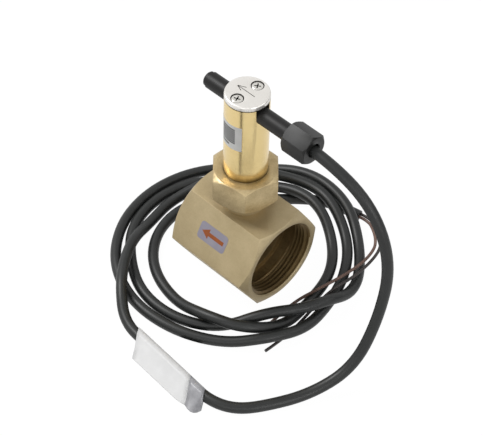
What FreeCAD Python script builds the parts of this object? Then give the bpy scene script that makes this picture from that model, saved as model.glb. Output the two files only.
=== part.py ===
import FreeCAD, Part
import math
import os
import re
import Sketcher

# Paddle flow switch: a brass hex-bar T-piece, a brass switch housing held on it
# by a union nut, and a black tube that holds the reed contact across the top.
# X runs along the pipe (+X is the inlet side), Z is up, and the origin is the
# middle of the T-piece's bottom flat. All sizes are in millimetres.

SIZES = {
    # T-piece, turned and milled from hexagon bar
    "tee_af": 55.0,
    "tee_long": 59.0,
    "tee_edge_cut": 3.1,
    "tee_face_r": 27.0,
    "port_r": 23.9,
    "port_deep": 18.5,
    "port_mouth_r": 24.45,
    "port_mouth_cut": 0.8,
    "passage_r": 20.0,
    # nipple between T-piece and housing
    "branch_r": 10.9,
    "branch_grip": 6.0,
    "neck_r": 12.0,
    "neck_high": 9.0,
    "nut_thread_r": 15.0,
    "nut_thread_high": 9.0,
    "nipple_bore_r": 9.6,
    "bore_relief": 0.9,
    "bore_relief_high": 5.0,
    "face_seal_r": 12.75,
    "face_seal_section": 0.9,
    # union nut
    "nut_af": 36.0,
    "nut_high": 18.2,
    "nut_drop": 8.9,
    "nut_edge_cut": 2.4,
    "nut_face_r": 17.7,
    "nut_turn": 13.7,
    # switch housing
    "barrel_r": 12.5,
    "collar_r": 13.8,
    "collar_high": 3.0,
    "barrel_high": 63.4,
    "chamber_r": 9.5,
    "chamber_neck_r": 8.9,
    "chamber_deep": 48.5,
    "carrier_seat": 23.0,
    "slot_depth": 6.7,
    # cover with its two clamp screws
    "cover_thick": 2.8,
    "cover_round": 1.0,
    "tongue_up": 3.0,
    "tongue_long": 19.0,
    "screw_inset": 5.2,
    "screw_turn": 3.5,
    "screw_r": 1.45,
    "screw_long": 12.0,
    "screw_tip_r": 1.0,
    "screw_head_r": 3.25,
    "screw_head_high": 1.7,
    "screw_rim": 0.3,
    "screw_sunk": 0.15,
    "screw_land": 0.45,
    "screw_spare": 1.0,
    # paddle lever and what carries it
    "pivot_up": 17.0,
    "pivot_r": 1.0,
    "carrier_high": 12.0,
    "window_long": 15.0,
    "window_wide": 8.0,
    "stop_up": 4.6,
    "stop_r": 0.75,
    "stop_short": 0.6,
    "clip_thick": 1.0,
    "clip_bite": 0.45,
    "clip_wide": 1.5,
    "clip_arc": 315.0,
    "lever_thick": 2.0,
    "lever_wide": 7.0,
    "lever_top_wide": 4.0,
    "lever_up": 27.0,
    "lever_down": 54.0,
    "hub_r": 3.0,
    "plate_thick": 1.0,
    "plate_wide": 18.0,
    "plate_high": 35.0,
    "plate_lap": 10.0,
    "plate_corner": 4.5,
    "rivet_r": 1.1,
    "rivet_head_r": 1.9,
    "rivet_head_high": 0.7,
    "magnet_r": 2.0,
    "magnet_long": 4.0,
    "magnet_wall": 0.8,
    "backer_long": 2.0,
    "backer_in": 8.5,
    # reed tube, closed by a plug at one end and by a cable gland at the other
    "tube_r": 4.9,
    "tube_bore_r": 3.6,
    "tube_left": 27.2,
    "tube_right": 36.0,
    "tube_edge_cut": 0.3,
    "plug_cap": 2.1,
    "plug_r": 4.3,
    "plug_neck": 6.0,
    "plug_edge_cut": 0.6,
    "boat_long": 26.0,
    "boat_left": 20.0,
    "capsule_r": 1.3,
    "capsule_waist_r": 0.8,
    "capsule_long": 14.0,
    "capsule_mid": -2.0,
    "blade_r": 0.35,
    "blade_long": 6.0,
    "resin_left": 20.0,
    "resin_right": 27.5,
    # cable gland
    "gland_left": 31.8,
    "gland_right": 48.3,
    "gland_af": 16.2,
    "gland_edge_cut": 1.1,
    "gland_turn": 32.0,
    "gland_face_r": 7.9,
    "gland_thread_r": 6.2,
    "gland_thread_end": 38.0,
    "gland_wall": 2.2,
    "gland_mouth_r": 4.0,
    "gland_chamfer": 0.4,
    "grommet_long": 6.0,
    "grommet_r": 5.2,
    "grommet_taper": 1.0,
    "claw_long": 1.8,
    # cable, its two cores and the marker wrapped round it
    "cable_r": 2.7,
    "core_r": 0.9,
    "floor_gap": 0.05,
    "crossing_gap": 3.0,
    "core_gap": 2.2,
    "marker_long": 56.5,
    "marker_mid": 24.9,
    "marker_wall": 0.35,
    "marker_gap": 0.45,
    "marker_front": 11.5,
    "marker_lip": 0.9,
    # labels
    "sticker_long": 20.6,
    "sticker_wide": 10.8,
    "sticker_off": -1.7,
    "sticker_corner": 2.0,
    "label_high": 17.5,
    "label_base": 106.2,
    "label_arc": 80.0,
    "label_start": 222.0,
    "film": 0.12,
    # clearances
    "running": 0.05,
    "sliding": 0.1,
    "loose": 0.3,
}

# Heights that follow from the stack of pieces, given as formulas of the sizes.
LEVELS = {
    "nipple_top": "tee_af + neck_high + nut_thread_high",
    "nut_base": "tee_af + neck_high + nut_thread_high - nut_drop",
    "collar_top": "tee_af + neck_high + nut_thread_high + collar_high",
    "housing_top": "tee_af + neck_high + nut_thread_high + barrel_high",
    "pivot_z": "tee_af + neck_high + nut_thread_high + pivot_up",
    "reed_z": "tee_af + neck_high + nut_thread_high + barrel_high - slot_depth",
    "carrier_top": "tee_af + neck_high + nut_thread_high + carrier_seat",
    "slot_r": "tube_r + sliding",
    "screw_hole_r": "screw_r + running",
    "screw_x": "(barrel_r - screw_inset) * sin(screw_turn)",
    "screw_y": "(barrel_r - screw_inset) * cos(screw_turn)",
}

# The cable leaves the gland along +X, falls to the floor in one bend, passes
# through its marker and then lies in three loose turns round the T-piece. Each
# point is a corner of the route; a stretch lies on the floor, or is lifted over
# the one it crosses.
FLOOR = SIZES["cable_r"] + SIZES["floor_gap"]
MARKED = FLOOR + SIZES["marker_gap"] + SIZES["marker_wall"]
OVER = FLOOR + 2 * SIZES["cable_r"] + SIZES["crossing_gap"]
OVER_CORE = FLOOR + 2 * SIZES["core_r"] + SIZES["core_gap"]
STACK = ("tee_af", "neck_high", "nut_thread_high", "barrel_high")
GLAND = sum(SIZES[name] for name in STACK) - SIZES["slot_depth"]
CABLE_ROUTE = [
    (36.0, 0.0, GLAND),
    (61.0, 0.0, GLAND),
    (89.0, 2.5, 114.0),
    (103.5, 3.5, 81.0),
    (105.0, -4.0, 45.0),
    (103.0, -19.5, 14.5),
    (93.5, -43.5, FLOOR),
    (80.0, -69.0, FLOOR),
    (70.0, -80.6, FLOOR),
    (56.6, -86.1, MARKED),
    (39.0, -84.8, MARKED),
    (6.0, -82.8, MARKED),
    (-15.0, -81.1, MARKED),
    (-30.5, -69.0, OVER),
    (-43.0, -54.5, OVER),
    (-52.0, -38.5, OVER),
    (-58.8, -19.0, FLOOR),
    (-64.0, 5.0, FLOOR),
    (-50.5, 35.0, OVER),
    (-33.0, 55.2, OVER),
    (-8.0, 67.0, OVER),
    (12.0, 65.0, OVER),
    (34.0, 54.0, FLOOR),
    (49.5, 34.0, FLOOR),
    (57.0, 11.0, FLOOR),
    (60.5, -12.0, FLOOR),
    (52.0, -35.0, OVER_CORE),
    (34.0, -53.0, FLOOR),
    (6.0, -66.0, FLOOR),
    (-26.0, -67.0, FLOOR),
    (-54.0, -53.5, FLOOR),
    (-73.0, -28.0, FLOOR),
    (-79.0, 4.0, FLOOR),
    (-69.0, 35.0, FLOOR),
    (-45.0, 59.5, FLOOR),
    (-16.0, 73.8, OVER),
    (16.5, 71.5, OVER),
    (38.0, 59.0, FLOOR),
    (56.5, 38.5, FLOOR),
    (60.5, 24.5, FLOOR),
    (60.5, 8.0, OVER),
    (54.5, -7.0, OVER),
    (41.0, -25.5, OVER),
    (26.5, -45.0, FLOOR),
    (4.0, -58.8, FLOOR),
    (-24.0, -59.5, FLOOR),
    (-48.5, -45.5, FLOOR),
    (-66.0, -25.0, FLOOR),
    (-71.5, 4.0, FLOOR),
    (-60.5, 32.0, FLOOR),
    (-36.0, 48.5, FLOOR),
    (-12.0, 57.0, OVER),
    (9.0, 57.0, OVER),
    (29.5, 46.0, FLOOR),
    (44.0, 27.0, FLOOR),
    (49.0, 2.0, FLOOR),
    (50.5, -20.0, FLOOR),
    (39.5, -42.0, OVER),
    (18.0, -50.0, OVER),
    (-6.0, -50.0, FLOOR),
    (-33.0, -42.0, FLOOR),
    (-52.0, -23.5, FLOOR),
    (-56.5, 4.0, FLOOR),
    (-43.0, 29.0, FLOOR),
    (-22.0, 46.0, FLOOR),
    (-7.0, 62.0, FLOOR),
    (8.5, 71.2, FLOOR),
    (24.8, 74.4, FLOOR),
]
# The marker sits on the run that starts at this point of the route.
MARKER_RUN = 10
# Each core leaves the cut sheath and comes down inside the outermost turn.
CORE_OVER = FLOOR + SIZES["cable_r"] + SIZES["core_r"] + SIZES["core_gap"]
CORE_FLOOR = SIZES["core_r"] + SIZES["floor_gap"]
BROWN_ROUTE = [
    (25.07, 73.23, FLOOR),
    (31.4, 74.45, FLOOR),
    (38.5, 70.8, 4.0),
    (46.5, 63.8, 6.5),
    (52.0, 55.5, CORE_OVER),
    (54.0, 43.0, CORE_OVER),
    (52.0, 26.0, CORE_OVER),
    (49.0, 11.0, CORE_OVER),
    (43.5, -2.0, 5.0),
    (42.0, -16.0, CORE_FLOOR),
    (42.5, -30.0, CORE_FLOOR),
]
BLACK_ROUTE = [
    (24.63, 75.59, FLOOR),
    (31.0, 76.8, FLOOR),
    (39.8, 73.2, 4.0),
    (48.8, 65.8, 6.5),
    (55.0, 56.5, CORE_OVER),
    (57.2, 43.0, CORE_OVER),
    (57.0, 30.0, CORE_OVER),
    (54.8, 17.0, CORE_OVER),
    (52.8, 5.5, 3.5),
    (53.8, -8.0, CORE_FLOOR),
    (55.2, -23.0, CORE_FLOOR),
    (54.0, -38.0, CORE_FLOOR),
]

DOC = FreeCAD.newDocument("PaddleFlowSwitch")
SHEET = DOC.addObject("Spreadsheet::Sheet", "Sizes")
X_AXIS = FreeCAD.Vector(1, 0, 0)
Y_AXIS = FreeCAD.Vector(0, 1, 0)
Z_AXIS = FreeCAD.Vector(0, 0, 1)
WORD = re.compile(r"\b[a-z][a-z0-9_]*\b")
CLOSE = 1e-6
# An arc takes this share of the shorter of the two runs that it joins.
ARC_SHARE = 0.45
# The clamp screws stand on both sides of the tube, turned a little about Z.
SCREWS = (("front", "-"), ("back", ""))


def fill_sheet():
    """Write every size, then every level, in one row each with its alias."""
    rows = [(name, str(size)) for name, size in SIZES.items()]
    rows += [(name, "=" + formula) for name, formula in LEVELS.items()]
    for row, (name, text) in enumerate(rows, start=1):
        SHEET.set(f"A{row}", name)
        SHEET.set(f"B{row}", text)
        SHEET.setAlias(f"B{row}", name)
    DOC.recompute()


def size(formula):
    """The present value of a formula of sizes."""
    return float(SHEET.evalExpression(formula))


def linked(formula):
    """The formula as another object of the document has to write it."""
    def prefix(match):
        word = match.group(0)
        return f"Sizes.{word}" if word in SIZES or word in LEVELS else word
    return WORD.sub(prefix, formula)


def bind(thing, prop, formula):
    thing.setExpression(prop, linked(formula))


def new_body(label, x="0", y="0", z="0", axis=Z_AXIS, angle="0"):
    """An empty body whose place follows the sheet."""
    body = DOC.addObject("PartDesign::Body", label)
    body.Label = label
    turn = FreeCAD.Rotation(axis, size(angle))
    body.Placement = FreeCAD.Placement(FreeCAD.Vector(size(x), size(y), size(z)), turn)
    for letter, formula in (("x", x), ("y", y), ("z", z)):
        if formula != "0":
            bind(body, f"Placement.Base.{letter}", formula)
    if angle != "0":
        bind(body, "Placement.Rotation.Angle", angle)
    return body


def new_sketch(body, name, role, offset="0"):
    """A sketch on one of the body's own origin planes, or parallel to it."""
    sketch = body.newObject("Sketcher::SketchObject", name)
    plane = [o for o in body.Origin.OriginFeatures if o.Role == role][0]
    sketch.AttachmentSupport = [(plane, "")]
    sketch.MapMode = "FlatFace"
    if offset != "0":
        sketch.AttachmentOffset.Base.z = size(offset)
        bind(sketch, "AttachmentOffset.Base.z", offset)
    return sketch


def pin_point(sketch, edge, end, x, y):
    """Hold one end of an edge at two formulas, measured from the origin."""
    for kind, formula in (("DistanceX", x), ("DistanceY", y)):
        rule = Sketcher.Constraint(kind, -1, 1, edge, end, size(formula))
        index = sketch.addConstraint(rule)
        bind(sketch, f"Constraints[{index}]", formula)


def add_loop(sketch, corners):
    """Draw a closed outline whose corners are pairs of formulas."""
    first = sketch.GeometryCount
    spots = [FreeCAD.Vector(size(x), size(y), 0) for x, y in corners]
    count = len(corners)
    for i in range(count):
        sketch.addGeometry(Part.LineSegment(spots[i], spots[(i + 1) % count]))
    for i in range(count):
        after = first + (i + 1) % count
        sketch.addConstraint(Sketcher.Constraint("Coincident", first + i, 2, after, 1))
    for i, (x, y) in enumerate(corners):
        pin_point(sketch, first + i, 1, x, y)


def add_circle(sketch, x, y, radius):
    """Draw a circle whose centre and radius are formulas."""
    centre = FreeCAD.Vector(size(x), size(y), 0)
    edge = sketch.addGeometry(Part.Circle(centre, Z_AXIS, size(radius)))
    pin_point(sketch, edge, 3, x, y)
    index = sketch.addConstraint(Sketcher.Constraint("Radius", edge, size(radius)))
    bind(sketch, f"Constraints[{index}]", radius)


def revolve(body, sketch, axis="V_Axis", cut=False, angle="360"):
    """Turn a profile round one of its sketch's axes, as metal or as a cut."""
    kind = "PartDesign::Groove" if cut else "PartDesign::Revolution"
    turn = body.newObject(kind, sketch.Name + ("_cut" if cut else "_turn"))
    turn.Profile = sketch
    turn.ReferenceAxis = (sketch, [axis])
    turn.Angle = size(angle)
    if angle != "360":
        bind(turn, "Angle", angle)
    sketch.Visibility = False
    return turn


def pad(body, sketch, length, both=True):
    """Thicken a sketch, evenly to both sides or to its front."""
    solid = body.newObject("PartDesign::Pad", sketch.Name + "_pad")
    solid.Profile = sketch
    solid.Length = size(length)
    solid.Midplane = both
    bind(solid, "Length", length)
    return solid


def pocket(body, sketch, length, both=True):
    """Cut a sketch's outline out of the body, and check that it cut."""
    DOC.recompute()
    before = body.Shape.Volume
    hole = body.newObject("PartDesign::Pocket", sketch.Name + "_pocket")
    hole.Profile = sketch
    hole.Length = size(length)
    hole.Midplane = both
    bind(hole, "Length", length)
    DOC.recompute()
    if body.Shape.Volume >= before:
        raise ValueError(f"{hole.Name} cut nothing")
    return hole


def rod(body, name, radius, length, spot, axis=Z_AXIS, cut=False):
    """A cylinder added to a body, or drilled out of it, from one end spot."""
    kind = "PartDesign::SubtractiveCylinder" if cut else "PartDesign::AdditiveCylinder"
    bar = body.newObject(kind, name)
    bar.Radius = size(radius)
    bar.Height = size(length)
    bind(bar, "Radius", radius)
    bind(bar, "Height", length)
    turn = FreeCAD.Rotation(Z_AXIS, axis)
    bar.Placement = FreeCAD.Placement(FreeCAD.Vector(*[size(f) for f in spot]), turn)
    for letter, formula in zip("xyz", spot):
        bind(bar, f"Placement.Base.{letter}", formula)
    return bar


def cone(body, name, r_low, r_high, length, spot, cut=False):
    """A cone standing on a spot, added to a body or cut out of it."""
    kind = "PartDesign::SubtractiveCone" if cut else "PartDesign::AdditiveCone"
    taper = body.newObject(kind, name)
    taper.Radius1 = size(r_low)
    taper.Radius2 = size(r_high)
    taper.Height = size(length)
    bind(taper, "Radius1", r_low)
    bind(taper, "Radius2", r_high)
    bind(taper, "Height", length)
    taper.Placement.Base = FreeCAD.Vector(*[size(f) for f in spot])
    for letter, formula in zip("xyz", spot):
        bind(taper, f"Placement.Base.{letter}", formula)
    return taper


def round_edges(body, name, radius, wanted):
    """Round the edges of the body that pass a test."""
    DOC.recompute()
    last = body.Tip
    names = [f"Edge{number}" for number, edge in enumerate(last.Shape.Edges, start=1)
             if wanted(edge)]
    rounding = body.newObject("PartDesign::Fillet", name)
    rounding.Base = (last, names)
    rounding.Radius = size(radius)
    bind(rounding, "Radius", radius)


def turned(label, corners, axis="V_Axis", turn="360", **place):
    """A piece turned on a lathe from one half section, given as (along X, up Z)."""
    body = new_body(label, **place)
    sketch = new_sketch(body, label + "_section", "XZ_Plane")
    add_loop(sketch, corners)
    revolve(body, sketch, axis, angle=turn)
    return body


def hexagon(sketch, across):
    """A hexagon round the sketch's origin with two flats across its vertical."""
    corner = f"{across} / 2 / cos(30)"
    spots = []
    for step in range(6):
        spots.append((f"{corner} * cos({60 * step})", f"{corner} * sin({60 * step})"))
    add_loop(sketch, spots)


def end_cuts(body, name, low, high, across, face_r, cut, role, axis):
    """Turn both ends of a hexagon bar to a cone that only takes its corners."""
    corner = f"{across} / 2 / cos(30)"
    reach = 1.6
    out = f"{face_r} + ({corner} - {face_r}) * {reach}"
    for end, inward in ((low, "+"), (high, "-")):
        tag = "low" if inward == "+" else "high"
        sketch = new_sketch(body, f"{name}_{tag}", role)
        triangle = [(end, face_r), (end, out), (f"{end} {inward} {cut} * {reach}", out)]
        if axis == "V_Axis":
            triangle = [(y, x) for x, y in triangle]
        add_loop(sketch, triangle)
        revolve(body, sketch, axis, cut=True)


def hex_tee():
    """The T-piece: hexagon bar, bored through, threaded at three mouths."""
    body = new_body("tee_body", z="tee_af / 2")
    bar = new_sketch(body, "bar_section", "YZ_Plane")
    hexagon(bar, "tee_af")
    pad(body, bar, "tee_long")
    end_cuts(body, "bar_end", "-tee_long / 2", "tee_long / 2", "tee_af",
             "tee_face_r", "tee_edge_cut", "XZ_Plane", "H_Axis")
    bore = new_sketch(body, "bore_section", "XZ_Plane")
    left = [
        ("-tee_long / 2", "0"),
        ("-tee_long / 2", "port_mouth_r"),
        ("-tee_long / 2 + port_mouth_cut", "port_r"),
        ("-tee_long / 2 + port_deep", "port_r"),
        ("-tee_long / 2 + port_deep", "passage_r"),
    ]
    right = [(x.replace("-tee_long / 2", "tee_long / 2").replace("+", "-"), r)
             for x, r in reversed(left)]
    add_loop(bore, left + right)
    revolve(body, bore, "H_Axis", cut=True)
    rod(body, "branch_hole", "branch_r", "tee_af / 2", ("0", "0", "0"), cut=True)


def nipple():
    """The nipple that carries the housing. Its bore flares where the arm swings widest."""
    low = "tee_af - branch_grip"
    body = turned("branch_nipple", [
        ("nipple_bore_r + bore_relief", low),
        ("branch_r", low),
        ("branch_r", "tee_af"),
        ("neck_r", "tee_af"),
        ("neck_r", "tee_af + neck_high"),
        ("nut_thread_r", "tee_af + neck_high"),
        ("nut_thread_r", "nipple_top"),
        ("nipple_bore_r", "nipple_top"),
        ("nipple_bore_r", f"{low} + bore_relief_high"),
    ])
    groove = new_sketch(body, "seal_groove", "XZ_Plane")
    inner = "face_seal_r - face_seal_section - sliding"
    outer = "face_seal_r + face_seal_section + sliding"
    floor = "nipple_top - 2 * face_seal_section"
    add_loop(groove, [(inner, floor), (outer, floor), (outer, "nipple_top"), (inner, "nipple_top")])
    revolve(body, groove, cut=True)
    ring = DOC.addObject("Part::Torus", "housing_seal")
    ring.Label = "housing_seal"
    bind(ring, "Radius1", "face_seal_r")
    bind(ring, "Radius2", "face_seal_section")
    bind(ring, "Placement.Base.z", "nipple_top - face_seal_section")


def union_nut():
    """The hexagon nut that clamps the housing's collar to the nipple."""
    body = new_body("union_nut", z="nut_base", angle="nut_turn")
    bar = new_sketch(body, "nut_section", "XY_Plane")
    hexagon(bar, "nut_af")
    pad(body, bar, "nut_high", both=False)
    end_cuts(body, "nut_end", "0", "nut_high", "nut_af", "nut_face_r", "nut_edge_cut",
             "XZ_Plane", "V_Axis")
    bore = new_sketch(body, "nut_bore", "XZ_Plane")
    lip = "nut_drop + collar_high + sliding"
    add_loop(bore, [
        ("0", "0"),
        ("nut_thread_r + sliding", "0"),
        ("nut_thread_r + sliding", lip),
        ("barrel_r + sliding", lip),
        ("barrel_r + sliding", "nut_high"),
        ("0", "nut_high"),
    ])
    revolve(body, bore, cut=True)


def housing():
    """The brass housing: collar, barrel, paddle chamber and the reed tube's slot."""
    clip_low = "carrier_top - carrier_high - sliding - clip_thick"
    body = turned("housing", [
        ("chamber_r", "nipple_top"),
        ("collar_r", "nipple_top"),
        ("collar_r", "collar_top"),
        ("barrel_r", "collar_top"),
        ("barrel_r", "housing_top"),
        ("0", "housing_top"),
        ("0", "nipple_top + chamber_deep"),
        ("chamber_neck_r", "nipple_top + chamber_deep"),
        ("chamber_neck_r", "carrier_top"),
        ("chamber_r", "carrier_top"),
        ("chamber_r", f"{clip_low} + clip_thick"),
        ("chamber_r + clip_bite", f"{clip_low} + clip_thick"),
        ("chamber_r + clip_bite", clip_low),
        ("chamber_r", clip_low),
    ])
    round_slot = new_sketch(body, "slot_round", "YZ_Plane")
    add_circle(round_slot, "0", "reed_z", "slot_r")
    pocket(body, round_slot, "4 * barrel_r")
    open_slot = new_sketch(body, "slot_open", "YZ_Plane")
    top = "housing_top + loose"
    add_loop(open_slot, [("-slot_r", "reed_z"), ("slot_r", "reed_z"),
                         ("slot_r", top), ("-slot_r", top)])
    pocket(body, open_slot, "4 * barrel_r")
    depth = "screw_long - cover_thick + screw_spare"
    for tag, side in SCREWS:
        spot = (f"{side}screw_x", f"{side}screw_y", f"housing_top - ({depth})")
        rod(body, f"thread_hole_{tag}", "screw_hole_r", depth, spot, cut=True)
    rod(body, "backer_hole", "magnet_r", "backer_long",
        ("backer_in", "0", "pivot_z + lever_up"), X_AXIS, cut=True)
    return clip_low


def carrier_and_pins(clip_low):
    """The insert that carries the paddle's pivot pin and stop pin, and its clip."""
    body = new_body("pivot_carrier")
    disc = new_sketch(body, "carrier_disc", "XY_Plane", "carrier_top - carrier_high")
    add_circle(disc, "0", "0", "chamber_r - sliding")
    pad(body, disc, "carrier_high", both=False)
    window = new_sketch(body, "carrier_window", "XZ_Plane")
    half = "window_long / 2"
    low = "carrier_top - carrier_high - loose"
    high = "carrier_top + loose"
    add_loop(window, [(f"-{half}", low), (half, low), (half, high), (f"-{half}", high)])
    pocket(body, window, "window_wide")
    stop_x = "-lever_thick / 2 - loose - stop_r"
    pins = (
        ("pivot_pin", "pivot_r", "0", "pivot_z", "0"),
        ("stop_pin", "stop_r", stop_x, "pivot_z + stop_up", "stop_short"),
    )
    for label, radius, x, z, short in pins:
        rod(body, label + "_hole", radius, "4 * chamber_r", (x, "-2 * chamber_r", z),
            Y_AXIS, cut=True)
        pin = new_body(label)
        reach = f"(chamber_r - 2 * sliding - {short})"
        rod(pin, label + "_rod", radius, f"2 * {reach}", (x, f"-{reach}", z), Y_AXIS)
    turned("carrier_clip", [
        ("chamber_r + clip_bite - sliding - clip_wide", f"{clip_low} + running"),
        ("chamber_r + clip_bite - sliding", f"{clip_low} + running"),
        ("chamber_r + clip_bite - sliding", f"{clip_low} + clip_thick - running"),
        ("chamber_r + clip_bite - sliding - clip_wide", f"{clip_low} + clip_thick - running"),
    ], turn="clip_arc")


def lever():
    """The paddle lever: a tapered strip with a hub, and a ring for its magnet."""
    body = new_body("paddle_arm", z="pivot_z")
    strip = new_sketch(body, "arm_outline", "YZ_Plane")
    add_loop(strip, [
        ("-lever_wide / 2", "-lever_down"),
        ("lever_wide / 2", "-lever_down"),
        ("lever_wide / 2", "-hub_r"),
        ("lever_top_wide / 2", "hub_r * 2"),
        ("lever_top_wide / 2", "lever_up"),
        ("-lever_top_wide / 2", "lever_up"),
        ("-lever_top_wide / 2", "hub_r * 2"),
        ("-lever_wide / 2", "-hub_r"),
    ])
    pad(body, strip, "lever_thick")
    hub_half = "window_wide / 2 - loose"
    rod(body, "hub", "hub_r", f"2 * ({hub_half})", ("0", f"-({hub_half})", "0"), Y_AXIS)
    ring_half = "magnet_long / 2 - running"
    rod(body, "magnet_ring", "magnet_r + magnet_wall", f"2 * ({ring_half})",
        (f"-({ring_half})", "0", "lever_up"), X_AXIS)
    rod(body, "pivot_hole", "pivot_r + running", "2 * window_wide",
        ("0", "-window_wide", "0"), Y_AXIS, cut=True)
    rod(body, "magnet_hole", "magnet_r", "2 * magnet_long",
        ("-magnet_long", "0", "lever_up"), X_AXIS, cut=True)
    rivet_spots = [("low", "plate_lap / 4"), ("high", "plate_lap * 3 / 4")]
    for tag, up in rivet_spots:
        rod(body, f"arm_rivet_hole_{tag}", "rivet_r", "4 * lever_thick",
            ("-2 * lever_thick", "0", f"-lever_down + {up}"), X_AXIS, cut=True)
    paddle_plate(rivet_spots)


def paddle_plate(rivet_spots):
    """The paddle's round-ended plate, riveted to the lever's lower end."""
    plate = new_body("paddle_plate", x="lever_thick / 2 + plate_thick / 2",
                     z="pivot_z - lever_down + plate_lap")
    outline = new_sketch(plate, "plate_outline", "YZ_Plane")
    half = "plate_wide / 2"
    add_loop(outline, [
        (f"-{half}", "-plate_high + plate_corner"),
        (f"-{half} + plate_corner", "-plate_high"),
        (f"{half} - plate_corner", "-plate_high"),
        (half, "-plate_high + plate_corner"),
        (half, "-plate_lap"),
        ("lever_wide / 2", "0"),
        ("-lever_wide / 2", "0"),
        (f"-{half}", "-plate_lap"),
    ])
    pad(plate, outline, "plate_thick")
    rivets = new_body("paddle_rivets", z="pivot_z - lever_down")
    for tag, up in rivet_spots:
        rod(plate, f"plate_rivet_hole_{tag}", "rivet_r", "4 * plate_thick",
            ("-2 * plate_thick", "0", f"{up} - plate_lap"), X_AXIS, cut=True)
    grip = "lever_thick + plate_thick"
    for tag, up in rivet_spots:
        rod(rivets, f"rivet_shank_{tag}", "rivet_r", grip, ("-lever_thick / 2", "0", up), X_AXIS)
        for end, x in (("a", "-lever_thick / 2 - rivet_head_high"),
                       ("b", "lever_thick / 2 + plate_thick")):
            rod(rivets, f"rivet_head_{tag}_{end}", "rivet_head_r", "rivet_head_high",
                (x, "0", up), X_AXIS)


def magnets():
    """The lever's magnet, and the one in the wall that pushes it back."""
    z = "pivot_z + lever_up"
    moving = new_body("paddle_magnet")
    rod(moving, "magnet_rod", "magnet_r", "magnet_long", ("-magnet_long / 2", "0", z), X_AXIS)
    fixed = new_body("return_magnet")
    rod(fixed, "backer_rod", "magnet_r", "backer_long", ("backer_in", "0", z), X_AXIS)


def cover():
    """The clamp cover: a round-edged disc with a tongue that holds the tube down."""
    top = "housing_top + cover_thick"
    body = turned("clamp_cover", [
        ("0", "housing_top"), ("barrel_r", "housing_top"), ("barrel_r", top), ("0", top),
    ])
    round_edges(body, "cover_rim", "cover_round",
                lambda edge: all(abs(v.Z - size(top)) < CLOSE for v in edge.Vertexes)
                and isinstance(edge.Curve, Part.Circle))
    tongue = new_sketch(body, "tongue", "YZ_Plane")
    half = "slot_r - loose"
    low = "reed_z + tongue_up"
    middle = "housing_top + cover_thick / 2"
    add_loop(tongue, [(f"-({half})", low), (half, low), (half, middle), (f"-({half})", middle)])
    pad(body, tongue, "tongue_long")
    saddle = new_sketch(body, "saddle", "YZ_Plane")
    add_circle(saddle, "0", "reed_z", "slot_r")
    pocket(body, saddle, "4 * barrel_r")
    wide = "screw_head_r + screw_land"
    depth = "screw_head_high + screw_sunk"
    for tag, side in SCREWS:
        x = f"{side}screw_x"
        y = f"{side}screw_y"
        rod(body, f"cover_hole_{tag}", "screw_r + loose", "2 * cover_thick",
            (x, y, "housing_top - cover_thick / 2"), cut=True)
        cone(body, f"countersink_{tag}", f"{wide} - ({depth})", wide, depth,
             (x, y, f"{top} - ({depth})"), cut=True)
        clamp_screw(tag, x, y)


def clamp_screw(tag, x, y):
    """A countersunk screw that clamps the cover down on the tube."""
    head_top = "housing_top + cover_thick - screw_sunk"
    head_low = f"{head_top} - screw_head_high"
    tip = f"{head_top} - screw_long"
    turned(f"clamp_screw_{tag}", [
        ("0", tip),
        ("screw_tip_r", tip),
        ("screw_r", f"{tip} + screw_r - screw_tip_r"),
        ("screw_r", f"{head_low} + screw_sunk"),
        ("screw_head_r - screw_rim", f"{head_top} - screw_rim"),
        ("screw_head_r", head_top),
        ("0", head_top),
    ], x=x, y=y)


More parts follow.
